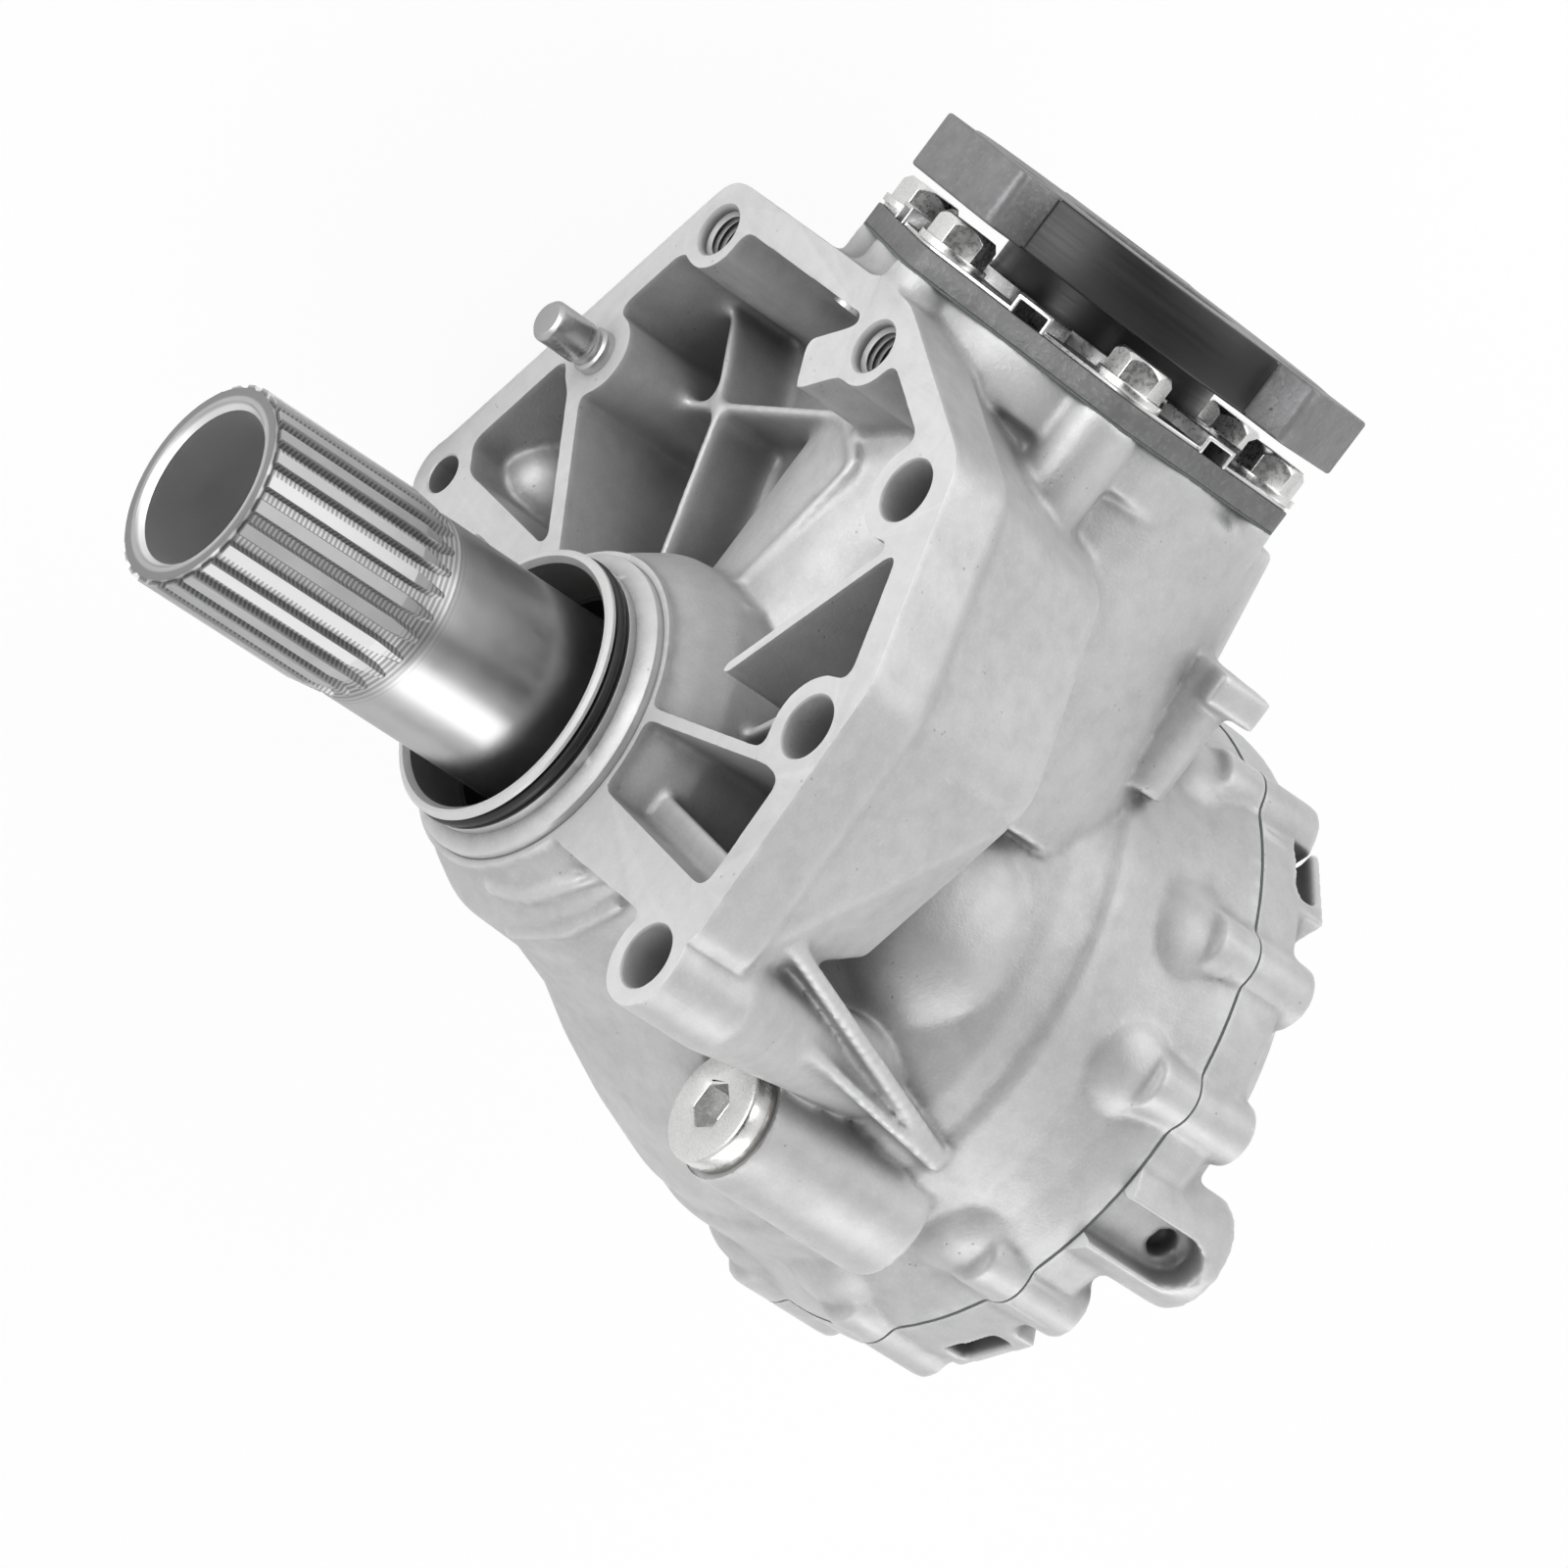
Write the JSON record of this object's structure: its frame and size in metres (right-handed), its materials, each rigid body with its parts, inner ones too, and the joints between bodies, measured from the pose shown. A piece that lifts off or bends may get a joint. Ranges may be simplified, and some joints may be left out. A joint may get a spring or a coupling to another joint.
{
  "type": "transfer case",
  "caption": "Right-angle transfer case: hollow splined input shaft, bevel gear pair, bolt-on mounting face, drum casing with cover and a lobed output flange.",
  "frame": {"origin": "where the input shaft's axis meets the machined mounting face", "axes": "+Y along the input shaft, out of the spigot towards the shaft's splined end; +X along the output axis, out of the output flange; +Z completes the set, towards the side with the filler plug. Which way is up in a vehicle is not known."},
  "size_m": [0.2424, 0.282, 0.2018],
  "materials": {
    "cast_aluminium": "sand-cast skin with machined faces",
    "shaft_steel": "ground and turned steel",
    "gear_steel": "case-hardened gear steel",
    "forged_steel": "dark forging with turned faces",
    "retainer_iron": "dark cast plate",
    "bright_steel": "bright zinc plate",
    "bearing_steel": "ground bearing steel",
    "seal_rubber": "oil seal rubber",
    "gasket": "fibre gasket",
    "soft_washer": "soft sealing washer"
  },
  "bodies": {
    "housing": {"transfer_case": "cast_aluminium", "transfer_cover": "cast_aluminium", "cover_gasket": "gasket", "cover_bolts": "bright_steel", "spigot_o_ring": "seal_rubber", "input_seal": "seal_rubber", "far_end_seal": "seal_rubber", "front_bearing_shim": "bearing_steel", "rear_bearing_shim": "bearing_steel", "pinion_seal": "seal_rubber", "retainer_gasket": "gasket", "bearing_retainer": "retainer_iron", "retainer_guard": "bright_steel", "retainer_bolts": "bright_steel", "filler_plug": "bright_steel", "filler_plug_gasket": "soft_washer", "drain_plug": "bright_steel", "drain_plug_gasket": "soft_washer", "dowel_pin": "shaft_steel", "front_shaft_bearing_cup": "bearing_steel", "rear_shaft_bearing_cup": "bearing_steel", "pinion_head_bearing_cup": "bearing_steel", "pinion_tail_bearing_cup": "bearing_steel"},
    "input": {"input_shaft": "shaft_steel", "ring_gear": "gear_steel", "ring_gear_bolts": "gear_steel", "front_shaft_bearing_cone": "bearing_steel", "front_shaft_bearing_rollers": "bearing_steel", "rear_shaft_bearing_cone": "bearing_steel", "rear_shaft_bearing_rollers": "bearing_steel"},
    "output": {"drive_pinion": "gear_steel", "pinion_spacer": "shaft_steel", "output_flange": "forged_steel", "dust_deflector": "bright_steel", "pinion_washer": "shaft_steel", "pinion_nut": "shaft_steel", "pinion_head_bearing_cone": "bearing_steel", "pinion_head_bearing_rollers": "bearing_steel", "pinion_tail_bearing_cone": "bearing_steel", "pinion_tail_bearing_rollers": "bearing_steel"}
  },
  "joints": [
    {"name": "input_spin", "type": "hinge", "parent": "housing", "child": "input", "pos_m": [0, 0, 0], "axis": [0, 1, 0], "continuous": true},
    {"name": "output_spin", "type": "hinge", "parent": "housing", "child": "output", "pos_m": [0, -0.057, 0], "axis": [1, 0, 0], "continuous": true}
  ],
  "couplings": [
    {"joint": "output_spin", "follows": "input_spin", "ratio": 2.5385}
  ]
}
